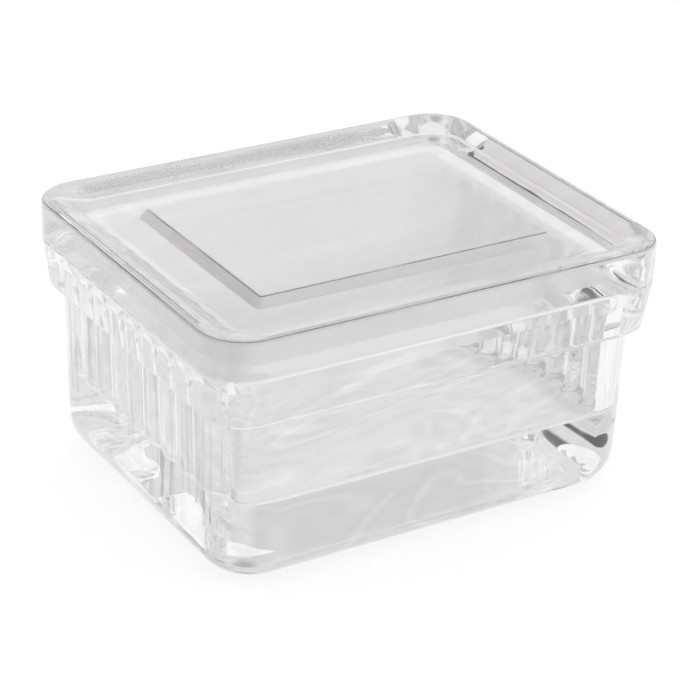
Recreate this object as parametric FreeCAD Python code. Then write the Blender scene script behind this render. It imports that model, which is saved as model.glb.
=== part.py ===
import FreeCAD, Part
import os

# Slide staining dish with its cover, both of pressed clear glass, in millimetres.
# Microscope slides stand on their long edges in the dish, each end in a groove of an end wall.
# The origin is the middle of the underside. X runs along the slides, Y across them and Z up.

# Slides that the dish takes, and the room that they need
slide_length = 76.0
slide_width = 26.0
slide_count = 10
slide_pitch = 6.2
end_clearance = 0.6
head_clearance = 1.2

# Ribs that part the grooves on the end walls
groove_width = 1.6
rib_height = 2.2
rib_flank = 0.9
rib_edge_bevel = 0.5
rib_top_rounding = 1.8
rib_top_drop = 4.2

# Cavity
base_thickness = 15.6
wall_draft = 0.3
mouth_flare = 0.8
floor_rounding = 2.2
cavity_corner = 2.4
mouth_bevel = 0.4

# Body below the collar
end_wall = 5.2
side_wall = 4.35
body_taper = 0.9
body_corner = 11.0
base_rounding = 7.9

# Collar round the rim
collar_height = 10.2
collar_overhang = 2.2
collar_taper = 1.1
collar_corner = 8.5
collar_rounding = 2.0
rim_bevel = 0.4

# Cover: a raised border, a sunken channel inside it and a raised panel in the middle
cover_thickness = 7.5
cover_edge_bevel = 0.6
border_flat = 2.8
border_slope = 4.6
border_rounding = 7.4
channel_depth = 2.6
channel_width = 7.6
channel_rounding = 5.5
channel_corner = 3.8
panel_rise = 1.8
panel_lean = 1.5
panel_rounding = 0.7
panel_corner = 2.0

# Sizes that follow from those above
cavity_length = slide_length + 2 * end_clearance
cavity_width = slide_count * slide_pitch
body_length = cavity_length + 2 * end_wall
body_width = cavity_width + 2 * side_wall
dish_length = body_length + 2 * collar_overhang
dish_width = body_width + 2 * collar_overhang
dish_height = base_thickness + slide_width + head_clearance
shoulder_height = dish_height - rib_top_drop

touching = 0.001


def outline(length, width, corner, inset, height):
    """Rectangle with round corners about the Z axis, drawn in on all sides by the inset."""
    radius = corner - inset
    far_x = length / 2 - corner
    far_y = width / 2 - corner
    centres = [(far_x, far_y), (-far_x, far_y), (-far_x, -far_y), (far_x, -far_y)]
    arcs = []
    for quarter, (x, y) in enumerate(centres):
        centre = FreeCAD.Vector(x, y, height)
        start = 90 * quarter
        arcs.append(Part.makeCircle(radius, centre, FreeCAD.Vector(0, 0, 1), start, start + 90))
    edges = []
    for arc, following in zip(arcs, arcs[1:] + arcs[:1]):
        straight = Part.LineSegment(arc.lastVertex().Point, following.firstVertex().Point)
        edges += [arc, straight.toShape()]
    return Part.Wire(edges)


def between(lower, upper):
    """Solid with straight sides from one outline up to another."""
    return Part.makeLoft([lower, upper], True, True)


def along(shape, wire):
    """Those edges of the shape that lie on the wire."""
    edges = []
    for edge in shape.Edges:
        if all(wire.distToShape(vertex)[0] < touching for vertex in edge.Vertexes):
            edges.append(edge)
    return edges


def rounded(shape, wire, radius):
    """The shape with its edges on the wire rounded."""
    return shape.makeFillet(radius, along(shape, wire))


def bevelled(shape, wire, width):
    """The shape with its edges on the wire cut back by the width on both faces."""
    return shape.makeChamfer(width, along(shape, wire))


def dish_outside():
    """Tapered body on a broadly rounded base, with the collar round its upper part."""
    foot = outline(body_length, body_width, body_corner, body_taper, 0)
    body_top = outline(body_length, body_width, body_corner, 0, dish_height)
    body = rounded(between(foot, body_top), foot, base_rounding)
    hem = outline(dish_length, dish_width, collar_corner, collar_taper, dish_height - collar_height)
    rim = outline(dish_length, dish_width, collar_corner, 0, dish_height)
    collar = rounded(between(hem, rim), hem, collar_rounding)
    collar = bevelled(collar, rim, rim_bevel)
    return body.fuse(collar)


def rib(middle):
    """Upright rib on the end wall at +X, with sloping flanks, soft edges and a rounded top."""
    wall = cavity_length / 2
    crest = wall - rib_height
    root = wall + rib_height
    crest_half = (slide_pitch - groove_width) / 2 - rib_flank
    root_half = crest_half + 2 * rib_flank
    low = base_thickness - floor_rounding
    height = shoulder_height - low
    corners = [
        FreeCAD.Vector(crest, middle - crest_half, low),
        FreeCAD.Vector(crest, middle + crest_half, low),
        FreeCAD.Vector(root, middle + root_half, low),
        FreeCAD.Vector(root, middle - root_half, low),
    ]
    plan = Part.Face(Part.makePolygon(corners + corners[:1]))
    post = plan.extrude(FreeCAD.Vector(0, 0, height))
    for across in (-crest_half, crest_half):
        edge_line = Part.makeLine((crest, middle + across, low), (crest, middle + across, shoulder_height))
        post = bevelled(post, edge_line, rib_edge_bevel)
    corner = FreeCAD.Vector(crest, middle - root_half, low)
    side = Part.makeBox(root - crest, 2 * root_half, height, corner)
    top_line = Part.makeLine(
        (crest, middle - root_half, shoulder_height), (crest, middle + root_half, shoulder_height)
    )
    return post.common(rounded(side, top_line, rib_top_rounding))


def ribs():
    """Both end walls' ribs: one between each two grooves, and one beyond the last at each end."""
    far_side = FreeCAD.Vector(1, 0, 0)
    both = []
    for place in range(slide_count + 1):
        near = rib((place - slide_count / 2) * slide_pitch)
        both += [near, near.mirror(FreeCAD.Vector(0, 0, 0), far_side)]
    return both


def cavity():
    """Room for the slides: rounded floor, drafted walls with ribs left out, flared mouth."""
    floor = outline(cavity_length, cavity_width, cavity_corner, 0, base_thickness)
    shoulder = outline(cavity_length, cavity_width, cavity_corner, -wall_draft, shoulder_height)
    mouth = outline(cavity_length, cavity_width, cavity_corner, -wall_draft - mouth_flare, dish_height)
    tub = rounded(between(floor, shoulder), floor, floor_rounding)
    return tub.cut(ribs()).fuse(between(shoulder, mouth)), mouth


def dish():
    """The pressed dish, one piece."""
    room, mouth = cavity()
    glass = dish_outside().cut(room).removeSplitter()
    return bevelled(glass, mouth, mouth_bevel)


def cover():
    """The pressed cover, one piece, its outline that of the dish's rim."""
    top_height = dish_height + cover_thickness
    channel_height = top_height - channel_depth
    brim_length = dish_length - 2 * border_flat
    brim_width = dish_width - 2 * border_flat
    brim_corner = channel_corner + border_slope
    underside = outline(dish_length, dish_width, collar_corner, 0, dish_height)
    top = outline(dish_length, dish_width, collar_corner, 0, top_height)
    slab = bevelled(between(underside, top), underside, rim_bevel)
    slab = bevelled(slab, top, cover_edge_bevel)

    brim = outline(brim_length, brim_width, brim_corner, 0, top_height)
    channel = outline(brim_length, brim_width, brim_corner, border_slope, channel_height)
    recess = rounded(between(channel, brim), channel, channel_rounding)
    bordered = rounded(slab.cut(recess), brim, border_rounding)

    panel_length = brim_length - 2 * (border_slope + channel_width)
    panel_width = brim_width - 2 * (border_slope + channel_width)
    foot = outline(panel_length, panel_width, panel_corner, 0, channel_height)
    crown = outline(panel_length, panel_width, panel_corner, panel_lean, channel_height + panel_rise)
    panel = rounded(between(foot, crown), crown, panel_rounding)
    return bordered.fuse(panel).removeSplitter()


os.makedirs("parts", exist_ok=True)
pieces = {"dish": dish(), "cover": cover()}
for name, piece in pieces.items():
    piece.exportStep("parts/" + name + ".step")
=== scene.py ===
import math

import bmesh
import bpy
from mathutils import Matrix, Vector


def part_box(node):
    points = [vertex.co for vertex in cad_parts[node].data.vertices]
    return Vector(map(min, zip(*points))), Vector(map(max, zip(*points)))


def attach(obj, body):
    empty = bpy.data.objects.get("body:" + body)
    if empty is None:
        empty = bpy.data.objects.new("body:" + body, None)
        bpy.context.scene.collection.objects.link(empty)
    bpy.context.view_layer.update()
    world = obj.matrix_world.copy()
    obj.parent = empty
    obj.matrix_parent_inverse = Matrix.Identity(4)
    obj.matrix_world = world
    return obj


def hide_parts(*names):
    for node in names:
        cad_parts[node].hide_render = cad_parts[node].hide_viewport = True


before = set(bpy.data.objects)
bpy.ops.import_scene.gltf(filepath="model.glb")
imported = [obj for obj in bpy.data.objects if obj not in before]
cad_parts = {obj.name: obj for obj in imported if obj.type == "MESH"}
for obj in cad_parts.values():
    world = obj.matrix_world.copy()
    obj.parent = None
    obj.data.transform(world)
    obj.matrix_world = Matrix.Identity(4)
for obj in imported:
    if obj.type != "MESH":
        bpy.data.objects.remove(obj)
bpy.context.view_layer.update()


# Dish: one pressing of clear soda-lime glass. It has a thick base rounded below, drafted walls,
# a collar that the cover sits flush with, and ten grooves between upright ribs on each end wall.
# The plunger leaves every edge slightly soft, and a film of air under the cover keeps the two apart.
mm = 0.001
air_film = 0.03 * mm
rim_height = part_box("dish")[1].z
rim_top = rim_height - air_film
rim_rounding = 0.5 * mm

collar_length = 2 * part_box("cover")[1].x
collar_width = 2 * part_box("cover")[1].y
collar_corner = 8.5 * mm
collar_taper = 1.1 * mm
collar_height = 10.2 * mm
collar_overhang = 2.2 * mm
hem_height = rim_height - collar_height
hem_rounding = 2.0 * mm
hem_start = math.radians(27)
hem_steps = 7

body_length = collar_length - 2 * collar_overhang
body_width = collar_width - 2 * collar_overhang
body_corner = 11.0 * mm
body_taper = 0.9 * mm
base_rounding = 7.9 * mm

cavity_length = 77.2 * mm
cavity_width = 62.0 * mm
cavity_corner = 2.8 * mm
cavity_margin = 1.5 * mm
floor_height = 15.6 * mm
floor_rounding = 2.2 * mm
wall_draft = 0.3 * mm
draft_height = 34.0 * mm
mouth_flare = 0.8 * mm
mouth_inset = -wall_draft - mouth_flare
mouth_rounding = 0.4 * mm
shoulder_height = 38.6 * mm

groove_pitch = 6.2 * mm
groove_width = 1.6 * mm
rib_height = 2.2 * mm
rib_top_rounding = 1.8 * mm
rib_top_steps = 6

# How fine the meshes are, and how far a section line runs on past its first or last corner.
facet_turn = math.radians(11)
corner_steps = 12
end_points = 220
side_points = 23
run_on = 1.0 * mm


def softened(points):
    """Section line through (inset, height, rounding) points, each inner corner rounded by an arc."""
    line = [Vector(points[0][:2])]
    for before, (inset, height, rounding), after in zip(points, points[1:], points[2:]):
        corner = Vector((inset, height))
        back = (Vector(before[:2]) - corner).normalized()
        ahead = (Vector(after[:2]) - corner).normalized()
        half = back.angle(ahead) / 2
        along = rounding / math.tan(half)
        centre = corner + (back + ahead).normalized() * rounding / math.sin(half)
        start = corner + back * along - centre
        end = corner + ahead * along - centre
        turn = math.pi - 2 * half
        steps = max(3, round(turn / facet_turn))
        for step in range(steps + 1):
            part = step / steps
            spoke = (start * math.sin((1 - part) * turn) + end * math.sin(part * turn)) / math.sin(turn)
            line.append(centre + spoke)
    line.append(Vector(points[-1][:2]))
    return line


def rings(length, width, corner, section):
    """A ring for each (inset, height) of a section line: its length, width and corner, then its height."""
    return [((length - 2 * inset, width - 2 * inset, corner - inset), height) for inset, height in section]


def first_ring(mesh, plan, height):
    """Loop of edges round the vertical axis: a circle whose quarters are moved apart."""
    length, width, corner = plan
    half_step = math.pi / (4 * corner_steps)
    radius = corner / math.cos(half_step)
    circle = bmesh.ops.create_circle(mesh, segments=4 * corner_steps, radius=radius)["verts"]
    bmesh.ops.rotate(mesh, verts=circle, matrix=Matrix.Rotation(half_step, 3, "Z"))
    for vert in circle:
        vert.co.x += math.copysign(length / 2 - corner, vert.co.x)
        vert.co.y += math.copysign(width / 2 - corner, vert.co.y)
        vert.co.z = height
    ends = [edge for edge in mesh.edges if edge.verts[0].co.y * edge.verts[1].co.y < 0]
    sides = [edge for edge in mesh.edges if edge.verts[0].co.x * edge.verts[1].co.x < 0]
    bmesh.ops.subdivide_edges(mesh, edges=ends, cuts=end_points)
    bmesh.ops.subdivide_edges(mesh, edges=sides, cuts=side_points)
    return list(mesh.edges)


def stretched(place, half_before, corner_before, half_after, corner_after):
    """Place along one side of a ring, carried to the same point of a ring of another size."""
    straight = half_before - corner_before
    past = abs(place) - straight
    if past < 0:
        return place * (half_after - corner_after) / straight
    return math.copysign(half_after - corner_after + past * corner_after / corner_before, place)


def walls(mesh, levels):
    """Walls drawn out from ring to ring, with flat faces across the first and the last."""
    plan, height = levels[0]
    edges = first_ring(mesh, plan, height)
    bmesh.ops.contextual_create(mesh, geom=edges)
    for next_plan, height in levels[1:]:
        drawn = bmesh.ops.extrude_edge_only(mesh, edges=edges)["geom"]
        for vert in [part for part in drawn if isinstance(part, bmesh.types.BMVert)]:
            x = stretched(vert.co.x, plan[0] / 2, plan[2], next_plan[0] / 2, next_plan[2])
            y = stretched(vert.co.y, plan[1] / 2, plan[2], next_plan[1] / 2, next_plan[2])
            vert.co = (x, y, height)
        edges = [part for part in drawn if isinstance(part, bmesh.types.BMEdge)]
        plan = next_plan
    bmesh.ops.contextual_create(mesh, geom=edges)
    bmesh.ops.recalc_face_normals(mesh, faces=mesh.faces)


def ribbed(vert):
    """Moves a point of an end wall in by the height of the rib there, less near the rib's top."""
    below_top = min(max((shoulder_height - vert.co.z) / rib_top_rounding, 0.0), 1.0)
    standing = rib_height * math.sqrt(1 - (1 - below_top) ** 2)
    from_groove = abs((vert.co.y / groove_pitch) % 1.0 - 0.5) * groove_pitch
    across = min(max((from_groove - groove_width / 2) / (groove_pitch - groove_width) * 2, 0.0), 1.0)
    vert.co.x -= math.copysign(standing * (0.5 - 0.5 * math.cos(math.pi * across)), vert.co.x)


def glass_piece(name, mesh, material):
    """Object of smooth glass that rides on the jar's one body."""
    for face in mesh.faces:
        face.smooth = True
    data = bpy.data.meshes.new(name)
    mesh.to_mesh(data)
    mesh.free()
    data.materials.append(material)
    piece = bpy.data.objects.new(name, data)
    bpy.context.collection.objects.link(piece)
    weighted = piece.modifiers.new("flat faces stay flat", "WEIGHTED_NORMAL")
    weighted.weight = 100
    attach(piece, "root")
    return piece


class Socket:
    """An output socket that shader sums are written with."""

    def __init__(self, shader, socket):
        self.shader = shader
        self.socket = socket

    def __add__(self, other):
        return self.shader.maths("ADD", self, other)

    def __mul__(self, other):
        return self.shader.maths("MULTIPLY", self, other)

    __radd__ = __add__
    __rmul__ = __mul__

    def __sub__(self, other):
        return self.shader.maths("SUBTRACT", self, other)

    def __rsub__(self, other):
        return self.shader.maths("SUBTRACT", other, self)

    def __lt__(self, other):
        return self.shader.maths("LESS_THAN", self, other)

    def __gt__(self, other):
        return self.shader.maths("GREATER_THAN", self, other)


class Shader:
    """Nodes of one material or world."""

    def __init__(self, owner):
        owner.use_nodes = True
        self.tree = owner.node_tree
        self.tree.nodes.clear()

    def node(self, kind, settings=None, inputs=None, output=0):
        """A node with its settings, then its inputs, each a value or a link. Gives one output."""
        made = self.tree.nodes.new(kind)
        for name, value in (settings or {}).items():
            setattr(made, name, value)
        for name, value in (inputs or {}).items():
            if isinstance(value, Socket):
                self.tree.links.new(value.socket, made.inputs[name])
            else:
                made.inputs[name].default_value = value
        return Socket(self, made.outputs[output] if made.outputs else None)

    def maths(self, operation, *values):
        return self.node("ShaderNodeMath", {"operation": operation}, dict(enumerate(values)))

    def vector(self, operation, *values):
        return self.node("ShaderNodeVectorMath", {"operation": operation}, dict(enumerate(values)))

    def ramp(self, value, start, end, top=1.0):
        """Smooth rise from 0 where the value is at the start, to the top where it is at the end."""
        settings = {"interpolation_type": "SMOOTHSTEP"}
        inputs = {"Value": value, "From Min": start, "From Max": end, "To Min": 0.0, "To Max": top}
        return self.node("ShaderNodeMapRange", settings, inputs)

    def along(self, vector):
        """The three numbers of a vector, each a socket."""
        return [self.node("ShaderNodeSeparateXYZ", {}, {0: vector}, output=axis) for axis in "XYZ"]


class PressedGlass(Shader):
    """Clear glass of one piece: where it is on the piece, which way it faces, and its finish."""

    def __init__(self, name):
        self.material = bpy.data.materials.new(name)
        super().__init__(self.material)
        self.place = self.node("ShaderNodeTexCoord", output="Object")
        self.height = self.along(self.place)[2]
        self.reach = self.along(self.vector("ABSOLUTE", self.place))
        normal = self.node("ShaderNodeTexCoord", output="Normal")
        self.facing = self.along(self.vector("ABSOLUTE", normal))

    def within(self, half_length, half_width):
        return (self.reach[0] < half_length) * (self.reach[1] < half_width)

    def noise(self, cells, detail, distortion=0.0):
        """Soft noise with so many cells to the metre along each axis."""
        place = self.vector("MULTIPLY", self.place, cells)
        inputs = {"Vector": place, "Scale": 1.0, "Detail": detail, "Distortion": distortion}
        return self.node("ShaderNodeTexNoise", {}, inputs)

    def cords(self, cells):
        """Lines of brighter glass that wander through the piece, each with greyer glass beside it."""
        lines = 4
        brighter = 0.1
        greyer = 0.07
        cloud = self.noise(cells, detail=0.5, distortion=1.3)
        off_line = self.maths("ABSOLUTE", self.maths("FRACT", cloud * lines) - 0.5)
        bright = self.ramp(off_line, 0.12, 0.0, brighter)
        grey = self.ramp(off_line, 0.1, 0.2, greyer) * self.ramp(off_line, 0.45, 0.2)
        return bright - grey

    def painted_edge_shade(self, upright):
        """Share of painted shade where the surface turns an edge: only the upright share of it round an
        upright corner, and little on the slopes of the long sides."""
        x, y, z = self.facing
        squarest = self.maths("MAXIMUM", self.maths("MAXIMUM", x, y), z)
        turned = self.ramp(squarest, 0.99, 0.8)
        level = upright + self.ramp(z, 0.1, 0.4, 1 - upright)
        long_side = self.ramp(y, 0.3, 0.7, 0.75)
        return turned * level * (1 - long_side)

    def finish(self, edge, edge_shade_colour, clearness, relief, waviness, roughness=0.0):
        """Clear glass, with painted shade tinting it where it turns an edge, its relief and its ground
        places.
        """
        flat_colour = (0.98, 0.98, 0.98, 1)
        # The Mix node's factor, its two colours and its result go by number, since its names repeat.
        # Painted shade: where the surface turns an edge, the glass takes the edge colour.
        tints = {0: edge, 6: flat_colour, 7: edge_shade_colour}
        tint = self.node("ShaderNodeMix", {"data_type": "RGBA"}, tints, output=2)
        tint = self.node("ShaderNodeVectorMath", {"operation": "SCALE"}, {0: tint, "Scale": clearness})
        bump = self.node("ShaderNodeBump", {}, {"Height": relief, "Strength": 1.0, "Distance": waviness})
        inputs = {"Base Color": tint, "Roughness": roughness, "Normal": bump}
        inputs.update({"IOR": 1.52, "Transmission Weight": 1.0})
        surface = self.node("ShaderNodeBsdfPrincipled", {}, inputs)
        self.node("ShaderNodeOutputMaterial", {}, {"Surface": surface})
        return self.material


def dish_glass():
    """Waves and cords on the cavity's side, cords round the base, upright mould threads on the end
    walls, and painted shade: greyer glass where it turns an edge, greyer still at the heel and floor edge."""
    wave_cells = (60, 130, 50)
    thread_cells = (60, 1100, 25)
    cord_cells = (20, 50, 48)
    waviness = 0.35 * mm
    thread_share = 0.15
    thread_grey = 0.26
    fillet_shade_grey = 0.45
    heel_shade_grey = 0.3
    edge_shade_grey = (0.87, 0.87, 0.87, 1)
    clearest = 0.93
    cavity_bottom = floor_height - 1.0 * mm
    base_top = floor_height - 2.5 * mm

    glass = PressedGlass("dish_pressed_glass")
    above_floor = glass.height > cavity_bottom
    inside = glass.within(cavity_length / 2 + cavity_margin, cavity_width / 2 + cavity_margin)
    inside = inside * above_floor
    base = glass.height < base_top
    threads = glass.noise(thread_cells, detail=0.0)
    relief = (glass.noise(wave_cells, detail=1.5) + thread_share * threads) * inside
    # Painted shade: grey tint where the surface turns an edge, deeper at the cavity floor's edge and the
    # heel.
    edge = glass.painted_edge_shade(0.4)
    fillet = edge * glass.ramp(glass.facing[2], 0.2, 0.5, fillet_shade_grey) * inside
    heel = edge * glass.ramp(glass.facing[2], 0.1, 0.4, heel_shade_grey) * (glass.height < base_rounding)
    end_wall = glass.facing[0] * above_floor * (glass.height < hem_height)
    thread = glass.ramp(threads, 0.52, 0.66, thread_grey) * end_wall
    cords = glass.cords(cord_cells) * glass.maths("MAXIMUM", inside, base)
    clearness = (clearest + cords) * (1 - thread) * (1 - fillet) * (1 - heel)
    return glass.finish(edge, edge_shade_grey, clearness, relief, waviness)


body_section = [(body_taper + base_rounding, 0, 0), (body_taper, 0, base_rounding), (0, hem_height, 0)]
levels = rings(body_length, body_width, body_corner, softened(body_section))
hem_section = []
for step in range(hem_steps + 1):
    angle = hem_start + (math.radians(90) - hem_start) * step / hem_steps
    inset = collar_taper + hem_rounding * (1 - math.sin(angle))
    hem_section.append((inset, hem_height + hem_rounding * (1 - math.cos(angle))))
levels += rings(collar_length, collar_width, collar_corner, hem_section)
collar_section = [
    (collar_taper, hem_height + hem_rounding, 0),
    (0, rim_top, rim_rounding),
    (run_on, rim_top, 0),
]
levels += rings(collar_length, collar_width, collar_corner, softened(collar_section)[1:-1])
mouth_section = [
    (mouth_inset - run_on, rim_top, 0),
    (mouth_inset, rim_top, mouth_rounding),
    (-wall_draft, shoulder_height, 0),
]
levels += rings(cavity_length, cavity_width, cavity_corner, softened(mouth_section)[1:])
rib_top_section = []
for step in range(1, rib_top_steps + 1):
    angle = math.radians(90) * step / rib_top_steps
    rib_top_section.append((-wall_draft, shoulder_height - rib_top_rounding * (1 - math.cos(angle))))
levels += rings(cavity_length, cavity_width, cavity_corner, rib_top_section)
floor_section = [
    (-wall_draft, draft_height, 0),
    (0, floor_height, floor_rounding),
    (floor_rounding + run_on, floor_height, 0),
]
levels += rings(cavity_length, cavity_width, cavity_corner, softened(floor_section)[:-1])

pressing = bmesh.new()
walls(pressing, levels)
just_below_floor = floor_height - 0.01 * mm
for vert in pressing.verts:
    from_end = cavity_length / 2 - abs(vert.co.x)
    if vert.co.z > just_below_floor and -cavity_margin < from_end < cavity_corner:
        ribbed(vert)
dish = glass_piece("dish_glass", pressing, dish_glass())
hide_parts("dish")


# Cover: a thick plate of the same glass that rests loose on the rim. Its top has a raised border
# that rolls down to a sunken channel, and a low panel in the middle. The underside is flat, and
# faintly ground inside the rim.
cover_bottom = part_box("cover")[0].z
cover_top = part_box("cover")[1].z
cover_edge_rounding = 0.9 * mm
border_flat = 2.8 * mm
border_slope = 4.6 * mm
border_rounding = 7.4 * mm
channel_depth = 2.6 * mm
channel_height = cover_top - channel_depth
channel_width = 7.6 * mm
channel_rounding = 5.5 * mm
channel_corner = 3.8 * mm
panel_inset = border_flat + border_slope + channel_width
panel_rise = 1.8 * mm
panel_height = channel_height + panel_rise
panel_lean = 1.5 * mm
panel_rounding = 0.7 * mm
panel_foot_rounding = 0.5 * mm
panel_corner = 2.0 * mm


def cover_glass():
    """Long streaks, a pinkish painted shade and reflection of pinkish surroundings where it turns an
    edge, an uneven painted dark shade line along the edges' roundings, and the faintly ground place below."""
    streak_cells = (9, 65, 48)
    wave_cells = (50, 70, 150)
    edge_shade_line_cells = (60, 60, 20)
    waviness = 0.08 * mm
    streak_share = 0.5
    faintest_shade_line = 0.45
    darkest_shade_line = 0.95
    upper_lip = cover_bottom + 6.2 * mm
    lower_lip = cover_bottom + 0.6 * mm
    ground_half_length = 36 * mm
    ground_half_width = 28 * mm
    ground_height = cover_bottom + 0.4 * mm
    ground_roughness = 0.25
    # Painted shade and reflection: pinkish grey where the cover turns an edge, for pinkish surroundings.
    pinkish = (0.84, 0.8, 0.815, 1)
    clearest = 0.95

    glass = PressedGlass("cover_pressed_glass")
    # Painted shade: an uneven dark line along the roundings of the edges near the cover's top and bottom.
    lips = (glass.height > upper_lip) + (glass.height < lower_lip)
    up = glass.facing[2]
    edge_shade_line = glass.ramp(up, 0.66, 0.74) * glass.ramp(up, 0.88, 0.8) * lips
    line_noise = glass.noise(edge_shade_line_cells, detail=1.0)
    line = faintest_shade_line + glass.ramp(line_noise, 0.35, 0.6, darkest_shade_line - faintest_shade_line)
    streaks = streak_share * glass.cords(streak_cells)
    clearness = (clearest + streaks) * (1 - line * edge_shade_line)
    ground = glass.within(ground_half_length, ground_half_width) * (glass.height < ground_height)
    roughness = ground_roughness * ground
    relief = glass.noise(wave_cells, detail=1.5)
    return glass.finish(glass.painted_edge_shade(1.0), pinkish, clearness, relief, waviness, roughness)


edge_section = [
    (run_on, cover_bottom, 0),
    (0, cover_bottom, rim_rounding),
    (0, cover_top, cover_edge_rounding),
    (run_on, cover_top, 0),
]
levels = rings(collar_length, collar_width, collar_corner, softened(edge_section)[1:-1])
border_section = [
    (-run_on, cover_top, 0),
    (0, cover_top, border_rounding),
    (border_slope, channel_height, channel_rounding),
    (border_slope + run_on, channel_height, 0),
]
border_length = collar_length - 2 * border_flat
border_width = collar_width - 2 * border_flat
border_corner = channel_corner + border_slope
levels += rings(border_length, border_width, border_corner, softened(border_section)[1:-1])
panel_section = [
    (-run_on, channel_height, 0),
    (0, channel_height, panel_foot_rounding),
    (panel_lean, panel_height, panel_rounding),
    (panel_lean + run_on, panel_height, 0),
]
panel_length = collar_length - 2 * panel_inset
panel_width = collar_width - 2 * panel_inset
levels += rings(panel_length, panel_width, panel_corner, softened(panel_section)[1:-1])

pressing = bmesh.new()
walls(pressing, levels)
cover = glass_piece("cover_glass", pressing, cover_glass())
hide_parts("cover")


# Floor: a plain pale table that runs out of view, a hair below the foot. The camera and the glass
# see it glow evenly, and it takes the dish's faint shadow.
table_size = 2.0
table_drop = 0.2 * mm
table_glow = 0.83
table_colour = (0.3, 0.3, 0.3, 1)
floor_mesh = bmesh.new()
bmesh.ops.create_grid(floor_mesh, x_segments=1, y_segments=1, size=table_size)
bmesh.ops.translate(floor_mesh, verts=floor_mesh.verts, vec=(0, 0, -table_drop))
floor_data = bpy.data.meshes.new("floor")
floor_mesh.to_mesh(floor_data)
floor_mesh.free()
floor = bpy.data.objects.new("floor", floor_data)
bpy.context.collection.objects.link(floor)
floor_material = bpy.data.materials.new("pale_table")
table = Shader(floor_material)
rays = ("Is Camera Ray", "Is Glossy Ray", "Is Transmission Ray")
camera_ray, glossy_ray, glass_ray = [table.node("ShaderNodeLightPath", output=ray) for ray in rays]
seen = camera_ray + glossy_ray + glass_ray
lit = table.node("ShaderNodeBsdfDiffuse", {}, {"Color": table_colour})
glow = table.node("ShaderNodeEmission", {}, {"Color": (1, 1, 1, 1), "Strength": table_glow})
dark = table.node("ShaderNodeEmission", {}, {"Color": (0, 0, 0, 1), "Strength": 0.0})
shown = table.node("ShaderNodeMixShader", {}, {0: seen, 1: dark, 2: glow})
shown = table.node("ShaderNodeAddShader", {}, {0: shown, 1: lit})
table.node("ShaderNodeOutputMaterial", {}, {"Surface": shown})
floor_data.materials.append(floor_material)


# Studio: a soft white surround at an even level. The darker patches stand for dark things about the
# room, which clear glass needs to show its form, and the lighter ones for its lamps.
surround = 0.97
darkest_sky = 0.02
world = bpy.data.worlds.new("studio")
bpy.context.scene.world = world
sky = Shader(world)
toward = sky.node("ShaderNodeTexCoord", output="Generated")


def patch_of_sky(azimuth, elevation, spread, strength, full=0.4):
    """A soft round patch of the surround, lighter or darker than the rest, that fades out from the full
    part of its spread to its rim."""
    around = math.radians(azimuth)
    up = math.radians(elevation)
    middle = (math.cos(up) * math.cos(around), math.cos(up) * math.sin(around), math.sin(up))
    product = {"operation": "DOT_PRODUCT"}
    nearness = sky.node("ShaderNodeVectorMath", product, {0: toward, 1: middle}, output="Value")
    rim = math.cos(math.radians(spread))
    core = math.cos(math.radians(spread * full))
    return sky.ramp(nearness, rim, core, strength)


brightness = surround
brightness += patch_of_sky(azimuth=126, elevation=9, spread=10.5, strength=-0.9, full=0.75)
brightness += patch_of_sky(azimuth=119, elevation=45, spread=12, strength=-0.8)
brightness += patch_of_sky(azimuth=52, elevation=30, spread=16, strength=-0.1)
brightness += patch_of_sky(azimuth=228, elevation=28, spread=28, strength=-0.4)
brightness += patch_of_sky(azimuth=32, elevation=10, spread=18, strength=-0.4)
brightness += patch_of_sky(azimuth=200, elevation=18, spread=28, strength=0.2)
brightness += patch_of_sky(azimuth=15, elevation=58, spread=26, strength=0.1)
brightness = sky.maths("MAXIMUM", brightness, darkest_sky)
background = sky.node("ShaderNodeBackground", {}, {"Strength": brightness})
sky.node("ShaderNodeOutputWorld", {}, {"Surface": background})

scene = bpy.context.scene
scene.view_settings.view_transform = "Standard"
scene.cycles.max_bounces = 96
scene.cycles.transmission_bounces = 96
scene.cycles.glossy_bounces = 48
scene.cycles.denoising_input_passes = "RGB"


# Camera: a long lens half a metre off, beyond the front left corner and above the cover, held with
# a slight lean.
aim = Vector((0.1 * mm, 0.5 * mm, 24.0 * mm))
bearing = math.radians(-31.81)
elevation = math.radians(26.38)
lean = math.radians(1.85)
distance = 472.87 * mm
camera_data = bpy.data.cameras.new("camera")
camera_data.sensor_width = 36
camera_data.lens = 135.08
camera_data.shift_x = -0.0016
camera_data.shift_y = 0.0067
camera = bpy.data.objects.new("camera", camera_data)
bpy.context.collection.objects.link(camera)
turn = Matrix.Rotation(bearing, 4, "Z")
tilt = Matrix.Rotation(math.radians(90) - elevation, 4, "X")
roll = Matrix.Rotation(lean, 4, "Z")
camera.matrix_world = Matrix.Translation(aim) @ turn @ tilt @ roll @ Matrix.Translation((0, 0, distance))
scene.camera = camera
